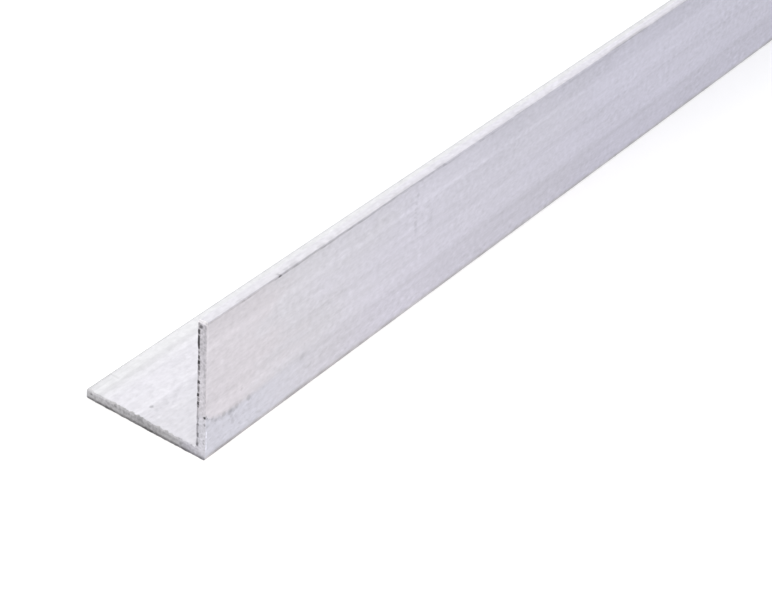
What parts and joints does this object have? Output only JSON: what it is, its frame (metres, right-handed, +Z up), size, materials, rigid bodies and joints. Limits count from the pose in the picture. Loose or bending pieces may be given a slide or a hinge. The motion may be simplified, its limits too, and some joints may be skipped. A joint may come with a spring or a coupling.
{
  "type": "metal angle section",
  "caption": "Straight bar of equal-leg aluminium angle with thin walls, a sharp inside corner and square-sawn ends, for framing, edging and bracing.",
  "frame": {"origin": "on the floor, in the middle of the rectangle that the bar covers: halfway along its length and halfway across its flat leg", "axes": "+X along the bar, +Z up; one leg lies flat on the floor, and the other stands on its -Y edge with its outer face towards -Y"},
  "size_m": [1, 0.03, 0.03],
  "materials": {
    "mill_aluminium": "mill finish, with fine die lines along the bar"
  },
  "bodies": {
    "root": {"angle_section": "mill_aluminium"}
  },
  "joints": []
}
